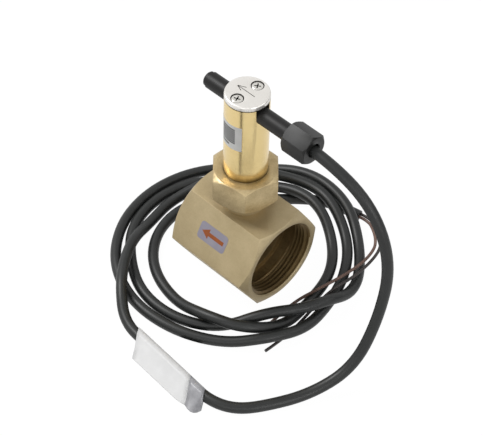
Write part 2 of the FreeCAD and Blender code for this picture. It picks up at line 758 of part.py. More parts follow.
def reed_tube():
    """The tube with the reed contact: plug, boat, glass capsule, blades, resin."""
    left = "-tube_left"
    turned("reed_tube", [
        (left, "tube_bore_r"),
        (left, "tube_r - tube_edge_cut"),
        (f"{left} + tube_edge_cut", "tube_r"),
        ("tube_right", "tube_r"),
        ("tube_right", "tube_bore_r"),
    ], "H_Axis", z="reed_z")
    tip = f"{left} - plug_cap"
    turned("tube_plug", [
        (tip, "0"),
        (tip, "plug_r - plug_edge_cut"),
        (f"{tip} + plug_edge_cut", "plug_r"),
        (left, "plug_r"),
        (left, "tube_bore_r"),
        (f"{left} + plug_neck", "tube_bore_r"),
        (f"{left} + plug_neck", "0"),
    ], "H_Axis", z="reed_z")
    boat = turned("reed_boat", [
        ("-boat_left", "0"),
        ("-boat_left", "tube_bore_r - sliding"),
        ("-boat_left + boat_long", "tube_bore_r - sliding"),
        ("-boat_left + boat_long", "0"),
    ], "H_Axis", z="reed_z")
    trough = new_sketch(boat, "boat_trough", "XZ_Plane")
    half = "capsule_long / 2 + blade_long + loose"
    low = "-capsule_r - loose"
    add_loop(trough, [
        (f"capsule_mid - ({half})", low),
        (f"capsule_mid + {half}", low),
        (f"capsule_mid + {half}", "tube_r"),
        (f"capsule_mid - ({half})", "tube_r"),
    ])
    pocket(boat, trough, "2 * (capsule_r + loose)")
    capsule_end = "capsule_long / 2"
    turned("reed_capsule", [
        (f"capsule_mid - {capsule_end}", "blade_r"),
        (f"capsule_mid - {capsule_end}", "capsule_waist_r"),
        (f"capsule_mid - {capsule_end} + capsule_r", "capsule_r"),
        (f"capsule_mid + {capsule_end} - capsule_r", "capsule_r"),
        (f"capsule_mid + {capsule_end}", "capsule_waist_r"),
        (f"capsule_mid + {capsule_end}", "blade_r"),
    ], "H_Axis", z="reed_z")
    blades = new_body("reed_blades", z="reed_z")
    reach = "capsule_long / 2 + blade_long"
    rod(blades, "blade_pair", "blade_r", f"2 * ({reach})",
        (f"capsule_mid - ({reach})", "0", "0"), X_AXIS)
    turned("cable_resin", [
        ("resin_left", "0"),
        ("resin_left", "tube_bore_r"),
        ("resin_right", "tube_bore_r"),
        ("resin_right", "0"),
    ], "H_Axis", z="reed_z")
    leads = new_body("reed_leads", z="reed_z")
    start = f"capsule_mid + {reach}"
    rod(leads, "lead_wire", "core_r", f"resin_left - ({start})", (start, "0", "0"), X_AXIS)


def gland():
    """The cable gland: threaded body, grommet, claw ring and hexagon cap nut."""
    turned("gland_body", [
        ("gland_left + loose", "tube_r"),
        ("gland_left + loose", "gland_thread_r - gland_chamfer"),
        ("gland_left + loose + gland_chamfer", "gland_thread_r"),
        ("gland_thread_end", "gland_thread_r"),
        ("gland_thread_end", "cable_r + loose"),
        ("tube_right", "cable_r + loose"),
        ("tube_right", "tube_r"),
    ], "H_Axis", z="reed_z")
    seal_end = "gland_thread_end + grommet_long"
    turned("cable_grommet", [
        ("gland_thread_end", "cable_r + sliding"),
        ("gland_thread_end", "grommet_r"),
        (f"{seal_end} - grommet_taper", "grommet_r"),
        (seal_end, "grommet_r - grommet_taper"),
        (seal_end, "cable_r + sliding"),
    ], "H_Axis", z="reed_z")
    turned("claw_ring", [
        (seal_end, "cable_r + loose"),
        (seal_end, "grommet_r"),
        (f"{seal_end} + claw_long", "grommet_r"),
        (f"{seal_end} + claw_long", "cable_r + loose"),
    ], "H_Axis", z="reed_z")
    nut = new_body("gland_nut", z="reed_z", axis=X_AXIS, angle="gland_turn")
    bar = new_sketch(nut, "gland_section", "YZ_Plane", "gland_left")
    hexagon(bar, "gland_af")
    pad(nut, bar, "gland_right - gland_left", both=False)
    end_cuts(nut, "gland_end", "gland_left", "gland_right", "gland_af",
             "gland_face_r", "gland_edge_cut", "XZ_Plane", "H_Axis")
    bore = new_sketch(nut, "gland_bore", "XZ_Plane")
    shoulder = "gland_right - gland_wall"
    add_loop(bore, [
        ("gland_left", "0"),
        ("gland_left", "gland_thread_r + sliding"),
        (shoulder, "gland_thread_r + sliding"),
        (shoulder, "gland_mouth_r"),
        ("gland_right - gland_chamfer", "gland_mouth_r"),
        ("gland_right", "gland_mouth_r + gland_chamfer"),
        ("gland_right", "0"),
    ])
    revolve(nut, bore, "H_Axis", cut=True)


def direction_sticker():
    """The flow arrow's sticker, on the flat beside the front top edge."""
    side = "tee_af / 2 / cos(30)"
    body = new_body("direction_sticker", x="sticker_off",
                    y=f"-{side} * 0.75", z=f"tee_af / 2 + {side} * 0.75 * tan(30)",
                    axis=X_AXIS, angle="60")
    patch = new_sketch(body, "sticker_patch", "XY_Plane")
    half_x = "sticker_long / 2"
    half_y = "sticker_wide / 2"
    add_loop(patch, [(f"-{half_x}", f"-{half_y}"), (half_x, f"-{half_y}"),
                     (half_x, half_y), (f"-{half_x}", half_y)])
    pad(body, patch, "film", both=False)
    round_edges(body, "sticker_corners", "sticker_corner",
                lambda edge: abs(edge.tangentAt(edge.FirstParameter).z) > 1 - CLOSE)


def housing_label():
    """The label bent round the left of the housing's barrel."""
    turned("housing_label", [
        ("barrel_r", "label_base"),
        ("barrel_r + film", "label_base"),
        ("barrel_r + film", "label_base + label_high"),
        ("barrel_r", "label_base + label_high"),
    ], turn="label_arc", angle="label_start")


def tube_path(points):
    """Straight runs joined by tangent arcs, each as large as its runs allow."""
    spots = [FreeCAD.Vector(*point) for point in points]
    edges = []
    radii = []
    start = spots[0]
    for before, corner, after in zip(spots, spots[1:], spots[2:]):
        back = before - corner
        on = after - corner
        shorter = min(back.Length, on.Length)
        turn = math.pi - back.getAngle(on)
        radius = ARC_SHARE * shorter / math.tan(turn / 2)
        radii.append(radius)
        back.normalize()
        on.normalize()
        enter = corner + back * ARC_SHARE * shorter
        leave = corner + on * ARC_SHARE * shorter
        bisector = (back + on).normalize()
        middle = corner + bisector * (radius / math.cos(turn / 2) - radius)
        edges.append(Part.LineSegment(start, enter).toShape())
        edges.append(Part.Arc(enter, middle, leave).toShape())
        start = leave
    edges.append(Part.LineSegment(start, spots[-1]).toShape())
    return Part.Wire(edges), radii


def swept_cord(label, points, radius):
    """A plain round cord along a route, as one swept solid."""
    path, radii = tube_path(points)
    start = FreeCAD.Vector(*points[0])
    heading = FreeCAD.Vector(*points[1]) - start
    ring = Part.Wire([Part.Circle(start, heading, radius).toShape()])
    solid = path.makePipeShell([ring], True, False)
    cord = DOC.addObject("Part::Feature", label)
    cord.Label = label
    cord.Shape = solid
    expected = math.pi * radius ** 2 * path.Length
    print(f"{label}: length {path.Length:.1f}, volume ratio {solid.Volume / expected:.4f}, "
          f"radii {min(radii):.1f} to {max(radii):.1f}")
    print("  radii", " ".join(f"{r:.0f}" for r in radii))


def cable_marker():
    """The marker wrapped loosely round the cable: a teardrop sleeve on the floor."""
    entry = FreeCAD.Vector(*CABLE_ROUTE[MARKER_RUN])
    leave = FreeCAD.Vector(*CABLE_ROUTE[MARKER_RUN + 1])
    heading = (leave - entry).normalize()
    middle = entry + heading * ((SIZES["marker_mid"] - entry.x) / heading.x)
    yaw = math.degrees(math.atan2(heading.y, heading.x))
    body = new_body("cable_marker")
    body.Placement = FreeCAD.Placement(middle, FreeCAD.Rotation(Z_AXIS, yaw))
    for name, radius, lip in (("marker_outer", "cable_r + marker_gap + marker_wall", "0"),
                              ("marker_inner", "cable_r + marker_gap", "marker_wall")):
        section = new_sketch(body, name, "YZ_Plane")
        bevel = f"({radius}) * tan(22.5)"
        front = f"marker_front - 2 * {lip}"
        add_loop(section, [
            (f"-{bevel}", f"-({radius})"),
            (front, f"-({radius})"),
            (front, f"-({radius}) + marker_lip - 2 * {lip}"),
            (bevel, radius),
            (f"-{bevel}", radius),
            (f"-({radius})", bevel),
            (f"-({radius})", f"-{bevel}"),
        ])
        if lip == "0":
            pad(body, section, "marker_long")
        else:
            pocket(body, section, "2 * marker_long")


NODES = [
    "tee_body", "branch_nipple", "housing_seal", "union_nut", "housing", "pivot_carrier",
    "pivot_pin", "stop_pin", "carrier_clip", "paddle_arm", "paddle_plate", "paddle_rivets",
    "paddle_magnet", "return_magnet", "clamp_cover", "clamp_screw_front", "clamp_screw_back",
    "reed_tube", "tube_plug", "reed_boat", "reed_capsule", "reed_blades", "reed_leads",
    "cable_resin", "gland_body", "cable_grommet", "claw_ring", "gland_nut",
    "direction_sticker", "housing_label", "cable", "core_brown", "core_black", "cable_marker",
]


def check_document():
    """Stop if any object failed, or any sub-part has no valid solid."""
    for thing in DOC.Objects:
        if "Invalid" in thing.State or "Error" in thing.State:
            raise RuntimeError(f"{thing.Name} failed: {thing.State}")
    for node in NODES:
        shape = DOC.getObject(node).Shape
        if shape.isNull() or not shape.isValid() or not shape.Solids:
            raise RuntimeError(f"{node} has no valid solid")


def export_nodes():
    os.makedirs("parts", exist_ok=True)
    for node in NODES:
        DOC.getObject(node).Shape.exportStep(f"parts/{node}.step")


fill_sheet()
hex_tee()
nipple()
union_nut()
carrier_and_pins(housing())
lever()
magnets()
cover()
reed_tube()
gland()
direction_sticker()
housing_label()
swept_cord("cable", CABLE_ROUTE, SIZES["cable_r"])
swept_cord("core_brown", BROWN_ROUTE, SIZES["core_r"])
swept_cord("core_black", BLACK_ROUTE, SIZES["core_r"])
cable_marker()
DOC.recompute()
check_document()
export_nodes()
print(len(NODES), "nodes")
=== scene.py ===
import math

import bmesh
import bpy
from mathutils import Matrix, Vector


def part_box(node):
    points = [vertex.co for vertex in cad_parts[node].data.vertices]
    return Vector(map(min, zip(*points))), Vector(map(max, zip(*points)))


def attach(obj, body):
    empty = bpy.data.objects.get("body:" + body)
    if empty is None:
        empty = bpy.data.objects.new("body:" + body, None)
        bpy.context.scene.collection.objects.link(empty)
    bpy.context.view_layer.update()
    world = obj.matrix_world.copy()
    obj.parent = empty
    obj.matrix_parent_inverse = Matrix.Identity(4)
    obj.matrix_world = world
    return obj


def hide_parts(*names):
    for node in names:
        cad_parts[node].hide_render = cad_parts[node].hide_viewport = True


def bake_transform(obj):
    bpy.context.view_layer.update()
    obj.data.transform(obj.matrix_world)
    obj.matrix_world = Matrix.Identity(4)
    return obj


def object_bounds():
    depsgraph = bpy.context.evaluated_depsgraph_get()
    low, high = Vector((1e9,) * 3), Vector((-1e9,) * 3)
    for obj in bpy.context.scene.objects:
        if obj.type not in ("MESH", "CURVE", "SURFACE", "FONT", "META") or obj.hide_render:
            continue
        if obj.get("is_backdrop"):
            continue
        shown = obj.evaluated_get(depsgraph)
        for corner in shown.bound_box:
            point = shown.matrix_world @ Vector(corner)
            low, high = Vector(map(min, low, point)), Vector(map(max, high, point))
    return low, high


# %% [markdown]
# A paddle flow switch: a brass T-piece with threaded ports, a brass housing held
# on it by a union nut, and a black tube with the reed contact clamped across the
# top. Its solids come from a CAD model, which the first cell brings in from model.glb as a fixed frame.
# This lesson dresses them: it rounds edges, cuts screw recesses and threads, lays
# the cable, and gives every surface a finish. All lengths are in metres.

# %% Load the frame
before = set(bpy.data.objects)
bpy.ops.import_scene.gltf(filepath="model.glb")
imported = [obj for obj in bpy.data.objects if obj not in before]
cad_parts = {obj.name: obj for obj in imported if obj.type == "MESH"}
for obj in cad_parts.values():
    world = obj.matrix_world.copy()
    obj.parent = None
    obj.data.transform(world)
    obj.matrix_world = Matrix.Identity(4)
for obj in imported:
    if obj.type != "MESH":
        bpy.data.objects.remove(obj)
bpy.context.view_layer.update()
scene = bpy.context.scene

# %% [markdown]
# The camera stands in front of the inlet port and looks down at about 48 degrees,
# so the cover, one side of the T-piece and the open bore all show. It is built from
# three angles and a place, because that reads better than a matrix.

# %% Camera
CAMERA_PLACE = Vector((0.47126, -0.50516, 0.80502))
CAMERA_AZIMUTH = math.radians(43.147)
CAMERA_DOWN = math.radians(47.921)
CAMERA_ROLL = math.radians(1.297)
CAMERA_LENS = 135.35


def place_camera():
    """Make the scene's camera, with its angles turned into an orientation."""
    lens = bpy.data.cameras.new("camera")
    lens.lens = CAMERA_LENS
    lens.sensor_width = 36.0
    lens.clip_start, lens.clip_end = 0.05, 20.0
    camera = bpy.data.objects.new("camera", lens)
    scene.collection.objects.link(camera)
    right = Vector((math.cos(CAMERA_AZIMUTH), math.sin(CAMERA_AZIMUTH), 0.0))
    level = Vector((math.sin(CAMERA_AZIMUTH), -math.cos(CAMERA_AZIMUTH), 0.0))
    back = level * math.cos(CAMERA_DOWN) + Vector((0, 0, math.sin(CAMERA_DOWN)))
    upward = back.cross(right)
    turn = Matrix((right, upward, back)).transposed()
    camera.matrix_world = (
        Matrix.Translation(CAMERA_PLACE)
        @ turn.to_4x4()
        @ Matrix.Rotation(CAMERA_ROLL, 4, "Z")
    )
    return camera


scene.camera = place_camera()
print("camera looks along", [round(v, 3) for v in -scene.camera.matrix_world.col[2].xyz])

# %% [markdown]
# A cord is the first thing to place, because it reaches furthest. The cable is
# 6.4 mm thick and about 1.7 m long. It leaves the gland level, falls to the floor in
# one bend, runs through its marker and lies in three loose turns round the T-piece.
# A NURBS curve of order 3 rounds every corner of the route by itself, so the points
# below are only the corners. Where a turn crosses another it is lifted over it.

# %% The routes of the cable and its two cores
# Heights of a cord's middle: in the gland, on the floor, in the marker, over a crossing.
GLAND = 0.1297
FLOOR = 0.00325
MARKED = 0.00405
OVER = 0.01215
OVER_CORE = 0.00775
CORE_OVER = 0.00925
CORE_FLOOR = 0.00095
CABLE_ROUTE = [
    (0.036, 0.0, GLAND),
    (0.061, 0.0, GLAND),
    (0.089, 0.0025, 0.114),
    (0.1031, 0.0035, 0.081),
    (0.1045, -0.004, 0.045),
    (0.103, -0.0195, 0.0145),
    (0.0935, -0.0435, FLOOR),
    (0.08, -0.069, FLOOR),
    (0.07, -0.0806, FLOOR),
    (0.0566, -0.0861, MARKED),
    (0.039, -0.0848, MARKED),
    (0.006, -0.0828, MARKED),
    (-0.015, -0.0811, MARKED),
    (-0.0305, -0.069, OVER),
    (-0.043, -0.0545, OVER),
    (-0.052, -0.0385, OVER),
    (-0.0594, -0.0194, FLOOR),
    (-0.064, 0.005, FLOOR),
    (-0.0505, 0.035, OVER),
    (-0.033, 0.0552, OVER),
    (-0.008, 0.0664, OVER),
    (0.012, 0.0645, OVER),
    (0.034, 0.054, FLOOR),
    (0.0495, 0.034, FLOOR),
    (0.0576, 0.011, FLOOR),
    (0.0605, -0.012, FLOOR),
    (0.052, -0.035, OVER_CORE),
    (0.034, -0.053, FLOOR),
    (0.006, -0.066, FLOOR),
    (-0.026, -0.067, FLOOR),
    (-0.054, -0.0535, FLOOR),
    (-0.073, -0.028, FLOOR),
    (-0.0785, 0.004, FLOOR),
    (-0.069, 0.035, FLOOR),
    (-0.045, 0.0595, FLOOR),
    (-0.016, 0.0738, OVER),
    (0.0165, 0.0715, OVER),
    (0.038, 0.059, FLOOR),
    (0.0565, 0.0385, FLOOR),
    (0.0612, 0.0245, FLOOR),
    (0.0605, 0.008, OVER),
    (0.0545, -0.007, OVER),
    (0.041, -0.0255, OVER),
    (0.0265, -0.045, FLOOR),
    (0.004, -0.0588, FLOOR),
    (-0.024, -0.0595, FLOOR),
    (-0.0485, -0.0455, FLOOR),
    (-0.0668, -0.0256, FLOOR),
    (-0.0715, 0.004, FLOOR),
    (-0.0605, 0.032, FLOOR),
    (-0.036, 0.0485, FLOOR),
    (-0.012, 0.057, OVER),
    (0.009, 0.057, OVER),
    (0.0295, 0.046, FLOOR),
    (0.044, 0.027, FLOOR),
    (0.049, 0.002, FLOOR),
    (0.0505, -0.02, FLOOR),
    (0.0395, -0.042, OVER),
    (0.018, -0.05, OVER),
    (-0.006, -0.05, FLOOR),
    (-0.033, -0.042, FLOOR),
    (-0.051, -0.0225, FLOOR),
    (-0.0556, 0.004, FLOOR),
    (-0.043, 0.029, FLOOR),
    (-0.022, 0.046, FLOOR),
    (-0.007, 0.062, FLOOR),
    (0.0085, 0.0712, FLOOR),
    (0.0248, 0.0741, FLOOR),
]
BROWN_ROUTE = [
    (0.02507, 0.07323, FLOOR),
    (0.0314, 0.07445, FLOOR),
    (0.0385, 0.0708, 0.004),
    (0.0465, 0.0638, 0.0065),
    (0.052, 0.0555, CORE_OVER),
    (0.054, 0.043, CORE_OVER),
    (0.052, 0.026, CORE_OVER),
    (0.049, 0.011, CORE_OVER),
    (0.0435, -0.002, 0.005),
    (0.042, -0.016, CORE_FLOOR),
    (0.0425, -0.03, CORE_FLOOR),
]
BLACK_ROUTE = [
    (0.02463, 0.07559, FLOOR),
    (0.031, 0.0768, FLOOR),
    (0.0398, 0.0732, 0.004),
    (0.0488, 0.0658, 0.0065),
    (0.055, 0.0565, CORE_OVER),
    (0.0572, 0.043, CORE_OVER),
    (0.057, 0.03, CORE_OVER),
    (0.0548, 0.017, CORE_OVER),
    (0.0528, 0.0055, 0.0035),
    (0.0538, -0.008, CORE_FLOOR),
    (0.0552, -0.023, CORE_FLOOR),
    (0.054, -0.038, CORE_FLOOR),
]
CABLE_RADIUS = 0.0032
CORE_RADIUS = 0.0009


def nurbs_curve(name, route, radius):
    """A smooth round cord whose corners are the route's points."""
    data = bpy.data.curves.new(name, "CURVE")
    data.dimensions = "3D"
    data.resolution_u = 8
    data.bevel_depth = radius
    data.bevel_resolution = 5
    data.use_fill_caps = radius > 0
    spline = data.splines.new("NURBS")
    spline.points.add(len(route) - 1)
    for point, spot in zip(spline.points, route):
        point.co = (*spot, 1.0)
    spline.use_endpoint_u = True
    spline.order_u = 3
    curve = bpy.data.objects.new(name, data)
    scene.collection.objects.link(curve)
    return curve


def spline_points(route):
    """The places along the smooth line of a route."""
    line = nurbs_curve("line", route, 0.0)
    bpy.context.view_layer.update()
    mesh = bpy.data.meshes.new_from_object(line.evaluated_get(bpy.context.evaluated_depsgraph_get()))
    spots = [vertex.co.copy() for vertex in mesh.vertices]
    bpy.data.objects.remove(line)
    bpy.data.meshes.remove(mesh)
    return spots


def line_length(spots):
    return sum((b - a).length for a, b in zip(spots, spots[1:]))


# %% [markdown]
# The gland can slide 6 mm with the reed tube. The cable's curve is turned into a
# mesh, and the two cores ride on the switch body.

# %% Lay the cable
def mesh_from_curve(curve, name):
    """Swap a curve object for a mesh object of the same shape."""
    bpy.context.view_layer.update()
    mesh = bpy.data.meshes.new_from_object(curve.evaluated_get(bpy.context.evaluated_depsgraph_get()))
    bpy.data.objects.remove(curve)
    piece = bpy.data.objects.new(name, mesh)
    scene.collection.objects.link(piece)
    for polygon in mesh.polygons:
        polygon.use_smooth = True
    return piece


cable_line = spline_points(CABLE_ROUTE)
cable = mesh_from_curve(nurbs_curve("cable_curve", CABLE_ROUTE, CABLE_RADIUS), "cable_sheath")
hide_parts("cable")
cores = {}
for colour, route in (("brown", BROWN_ROUTE), ("black", BLACK_ROUTE)):
    core_line = spline_points(route)
    core = mesh_from_curve(nurbs_curve(f"{colour}_curve", route, CORE_RADIUS), f"{colour}_core")
    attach(core, "switch_body")
    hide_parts(f"core_{colour}")
    line_length(core_line)
    cores[colour] = core
print("cable length", round(line_length(cable_line), 4), "m")

# %% [markdown]
# Every finish here is built from a few effects. Each effect is a node group, so that
# brass, steel and plastic can share it with their own values. A group only puts out a
# colour, a mask or a height: the Principled shader stays in each material.

# %% Helpers for node groups and materials
def srgb(red, green, blue):
    """A screen colour, 0 to 255, as the linear colour that shaders use."""
    def linear(value):
        share = value / 255
        return share / 12.92 if share <= 0.04045 else ((share + 0.055) / 1.055) ** 2.4
    return (linear(red), linear(green), linear(blue), 1.0)


def new_group(name, inputs, outputs):
    """An empty shader group with named sockets, and its inner input and output."""
    tree = bpy.data.node_groups.new(name, "ShaderNodeTree")
    for label, kind, value in inputs:
        socket = tree.interface.new_socket(label, in_out="INPUT", socket_type=kind)
        if value is not None:
            socket.default_value = value
    for label, kind in outputs:
        tree.interface.new_socket(label, in_out="OUTPUT", socket_type=kind)
    return tree, tree.nodes.new("NodeGroupInput"), tree.nodes.new("NodeGroupOutput")


def math_node(tree, operation, first, second=None, third=None):
    """A Math node fed by sockets or numbers. Returns its output."""
    node = tree.nodes.new("ShaderNodeMath")
    node.operation = operation
    for slot, value in enumerate((first, second, third)):
        if value is None:
            continue
        if isinstance(value, (int, float)):
            node.inputs[slot].default_value = value
        else:
            tree.links.new(value, node.inputs[slot])
    return node.outputs[0]


def noise(tree, vector, scale, detail=3.0, roughness=0.5, distortion=0.0):
    """A Noise node. Returns its value output."""
    node = tree.nodes.new("ShaderNodeTexNoise")
    node.inputs["Detail"].default_value = detail
    node.inputs["Roughness"].default_value = roughness
    node.inputs["Distortion"].default_value = distortion
    tree.links.new(vector, node.inputs["Vector"])
    if isinstance(scale, (int, float)):
        node.inputs["Scale"].default_value = scale
    else:
        tree.links.new(scale, node.inputs["Scale"])
    return node.outputs["Fac"]


def mix_colour(tree, factor, first, second, blend="MIX"):
    """A Mix node for colours, fed by sockets or colours. Returns its output."""
    node = tree.nodes.new("ShaderNodeMix")
    node.data_type = "RGBA"
    node.blend_type = blend
    for slot, value in ((0, factor), (6, first), (7, second)):
        if hasattr(value, "is_output"):
            tree.links.new(value, node.inputs[slot])
        else:
            node.inputs[slot].default_value = value
    return node.outputs[2]


def ramp(tree, value, low, high):
    """Stretch the stretch from low to high to 0 to 1, clamped."""
    node = tree.nodes.new("ShaderNodeMapRange")
    node.inputs["From Min"].default_value = low
    node.inputs["From Max"].default_value = high
    tree.links.new(value, node.inputs["Value"])
    return node.outputs["Result"]


# %% [markdown]
# Turned metal carries fine rings, each at one place along the lathe's axis. The group
# reads how far a point is along the axis and how far from it, adds the two, and turns
# that single number into noise: rings on the side and circles on an end face.

# %% Group: lathe marks
def lathe_marks_group():
    tree, given, result = new_group(
        "lathe marks",
        [("Vector", "NodeSocketVector", None), ("Lines", "NodeSocketFloat", 2500.0)],
        [("Height", "NodeSocketFloat")],
    )
    parts = tree.nodes.new("ShaderNodeSeparateXYZ")
    tree.links.new(given.outputs["Vector"], parts.inputs[0])
    x, y, z = parts.outputs
    radius = math_node(tree, "SQRT", math_node(tree, "ADD", math_node(tree, "MULTIPLY", x, x),
                                               math_node(tree, "MULTIPLY", y, y)))
    place = math_node(tree, "MULTIPLY", math_node(tree, "ADD", z, radius), given.outputs["Lines"])
    lines = tree.nodes.new("ShaderNodeTexNoise")
    lines.noise_dimensions = "1D"
    lines.inputs["Scale"].default_value = 1.0
    lines.inputs["Detail"].default_value = 4.0
    tree.links.new(place, lines.inputs["W"])
    tree.links.new(lines.outputs["Fac"], result.inputs["Height"])
    return tree


LATHE_MARKS = lathe_marks_group()

# %% [markdown]
# Bare brass is never one colour. It is a little darker and greener where hands and
# air have been, in soft clouds with small specks between them. This group mixes a base
# colour towards a darker one by two sizes of cloud, and adds the specks.

# %% Group: patina
def patina_group():
    tree, given, result = new_group(
        "patina",
        [("Vector", "NodeSocketVector", None), ("Color", "NodeSocketColor", (0.8, 0.8, 0.8, 1)),
         ("Aged", "NodeSocketColor", (0.5, 0.5, 0.5, 1)), ("Cloud Scale", "NodeSocketFloat", 60.0),
         ("Amount", "NodeSocketFloat", 0.5), ("Specks", "NodeSocketFloat", 0.3)],
        [("Color", "NodeSocketColor"), ("Mask", "NodeSocketFloat")],
    )
    vector, amount = given.outputs["Vector"], given.outputs["Amount"]
    cloud = ramp(tree, noise(tree, vector, given.outputs["Cloud Scale"], 5.0, 0.6), 0.35, 0.7)
    specks = ramp(tree, noise(tree, vector, 2600.0, 1.0), 0.62, 0.72)
    fine = ramp(tree, noise(tree, vector, 900.0, 2.0), 0.3, 0.75)
    clouds = math_node(tree, "MULTIPLY", math_node(tree, "MULTIPLY_ADD", fine, 0.35, cloud), amount)
    dots = math_node(tree, "MULTIPLY", specks, given.outputs["Specks"])
    mask = math_node(tree, "MINIMUM", math_node(tree, "ADD", clouds, dots), 1.0)
    colour = mix_colour(tree, mask, given.outputs["Color"], given.outputs["Aged"])
    tree.links.new(colour, result.inputs["Color"])
    tree.links.new(mask, result.inputs["Mask"])
    return tree


PATINA = patina_group()

# %% [markdown]
# Moulded plastic and blasted metal share a very fine grain. One noise at a given scale
# is enough for it, and each material turns it into a bump of its own depth.

# %% Group: grain
def grain_group():
    tree, given, result = new_group(
        "grain",
        [("Vector", "NodeSocketVector", None), ("Scale", "NodeSocketFloat", 3000.0)],
        [("Height", "NodeSocketFloat"), ("Blotch", "NodeSocketFloat")],
    )
    fine = noise(tree, given.outputs["Vector"], given.outputs["Scale"], 2.0)
    broad = noise(tree, given.outputs["Vector"], 120.0, 3.0)
    tree.links.new(fine, result.inputs["Height"])
    tree.links.new(broad, result.inputs["Blotch"])
    return tree


GRAIN = grain_group()


# %% [markdown]
# Each material starts the same way: a Principled shader and the coordinates of its
# object. Three helpers set that up, place a group in it and turn a height into bump.

# %% A material to start from
def start_material(name, **settings):
    """A new material, its node tree, its Principled shader and object coordinates."""
    made = bpy.data.materials.new(name)
    made.use_nodes = True
    tree = made.node_tree
    shader = tree.nodes["Principled BSDF"]
    for label, value in settings.items():
        shader.inputs[label.replace("_", " ")].default_value = value
    coordinates = tree.nodes.new("ShaderNodeTexCoord").outputs["Object"]
    return made, tree, shader, coordinates


def use_group(tree, group, **values):
    """Place a group. A socket links, and anything else is set as the value."""
    node = tree.nodes.new("ShaderNodeGroup")
    node.node_tree = group
    for label, value in values.items():
        socket = node.inputs[label.replace("_", " ")]
        if hasattr(value, "is_output"):
            tree.links.new(value, socket)
        else:
            socket.default_value = value
    return node


def bump(tree, shader, height, distance, strength=1.0):
    """Feed a height into the shader's Normal."""
    node = tree.nodes.new("ShaderNodeBump")
    node.inputs["Strength"].default_value = strength
    node.inputs["Distance"].default_value = distance
    tree.links.new(height, node.inputs["Height"])
    tree.links.new(node.outputs["Normal"], shader.inputs["Normal"])


# %% [markdown]
# Four brass finishes. The T-piece is blasted matt and looks pale, and its bores are
# darker. The union nut is turned and a little warmer. The housing is polished, so it
# shows its surroundings in streaks, over fine lathe rings. Two bands on the housing are
# painted dark: a dark joint line under the cover, and painted shade at the foot where it enters the nut.

# %% Brass
def joint_line_and_shade_mask(tree, where, bands):
    """A mask of height bands painted dark, for the joint line and for painted shade, from (low, high,
    softness, share) bands.
    """
    parts = tree.nodes.new("ShaderNodeSeparateXYZ")
    tree.links.new(where, parts.inputs[0])
    mask = None
    for low, high, soft, share in bands:
        above = ramp(tree, parts.outputs["Z"], low - soft, low)
        below = ramp(tree, parts.outputs["Z"], high + soft, high)
        band = math_node(tree, "MULTIPLY", math_node(tree, "MULTIPLY", above, below), share)
        mask = band if mask is None else math_node(tree, "MAXIMUM", mask, band)
    return mask


def brass(name, colour, aged, rough, metal, lines, depth, amount=0.5, specks=0.3, grain=0.0,
          bands=()):
    made, tree, shader, where = start_material(name, Metallic=metal)
    patina = use_group(tree, PATINA, Vector=where, Color=colour, Aged=aged,
                       Amount=amount, Specks=specks)
    shade = patina.outputs["Color"]
    if bands:
        # The bands are painted dark into the base colour: the joint line, and painted shade at the foot.
        shade = mix_colour(tree, joint_line_and_shade_mask(tree, where, bands), shade, srgb(66, 54, 26))
    tree.links.new(shade, shader.inputs["Base Color"])
    roughness = math_node(tree, "MULTIPLY_ADD", patina.outputs["Mask"], 0.12, rough)
    tree.links.new(roughness, shader.inputs["Roughness"])
    if grain:
        height = use_group(tree, GRAIN, Vector=where, Scale=grain).outputs["Height"]
    else:
        height = use_group(tree, LATHE_MARKS, Vector=where, Lines=lines).outputs["Height"]
    bump(tree, shader, height, depth)
    return made


TEE_BRASS = brass("matt tee brass", srgb(192, 174, 136), srgb(148, 130, 92), 0.46, 0.45,
                  0.0, 0.00003, amount=0.35, specks=0.25, grain=3200.0)
BORE_BRASS = brass("bore brass", srgb(140, 118, 78), srgb(92, 74, 44), 0.36, 0.7,
                   1800.0, 0.00003, amount=0.6)
NUT_BRASS = brass("turned nut brass", srgb(212, 192, 148), srgb(150, 126, 86), 0.36, 0.65,
                  2600.0, 0.00002, amount=0.6)
NUT_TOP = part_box("union_nut")[1].z
# The joint band is a dark joint line under the cover; the foot band is painted shade where the housing
# goes into the nut.
JOINT_LOW, JOINT_HIGH = 0.1359, 0.1366
JOINT_SOFTNESS, JOINT_SHARE = 0.00008, 0.95
FOOT_SHADE_LOW, FOOT_SHADE_HIGH = 0.05, NUT_TOP + 0.0004
FOOT_SHADE_SOFTNESS, FOOT_SHADE_SHARE = 0.0032, 0.8
HOUSING_BANDS = [
    (JOINT_LOW, JOINT_HIGH, JOINT_SOFTNESS, JOINT_SHARE),
    (FOOT_SHADE_LOW, FOOT_SHADE_HIGH, FOOT_SHADE_SOFTNESS, FOOT_SHADE_SHARE),
]
HOUSING_BRASS = brass("polished housing brass", srgb(238, 214, 156), srgb(212, 182, 120),
                      0.2, 0.9, 3800.0, 0.000006, amount=0.3, specks=0.1,
                      bands=HOUSING_BANDS)

# %% [markdown]
# The cover is plated and polished, the screws are bright steel. Cut marks get painted
# shade: anything lower than the cover's top face is painted dark, which draws the
# engraved arrow and the ring round each screw.

# %% Plated cover and screws
COVER_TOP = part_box("clamp_cover")[1].z
SCREW_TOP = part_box("clamp_screw_front")[1].z


def near_spot(tree, parts, spot, reach):
    """1 within a reach of an upright axis through a spot, 0 elsewhere."""
    across = math_node(tree, "SUBTRACT", parts.outputs["X"], spot.x)
    along = math_node(tree, "SUBTRACT", parts.outputs["Y"], spot.y)
    square = math_node(tree, "ADD", math_node(tree, "MULTIPLY", across, across),
                       math_node(tree, "MULTIPLY", along, along))
    return math_node(tree, "LESS_THAN", square, reach * reach)


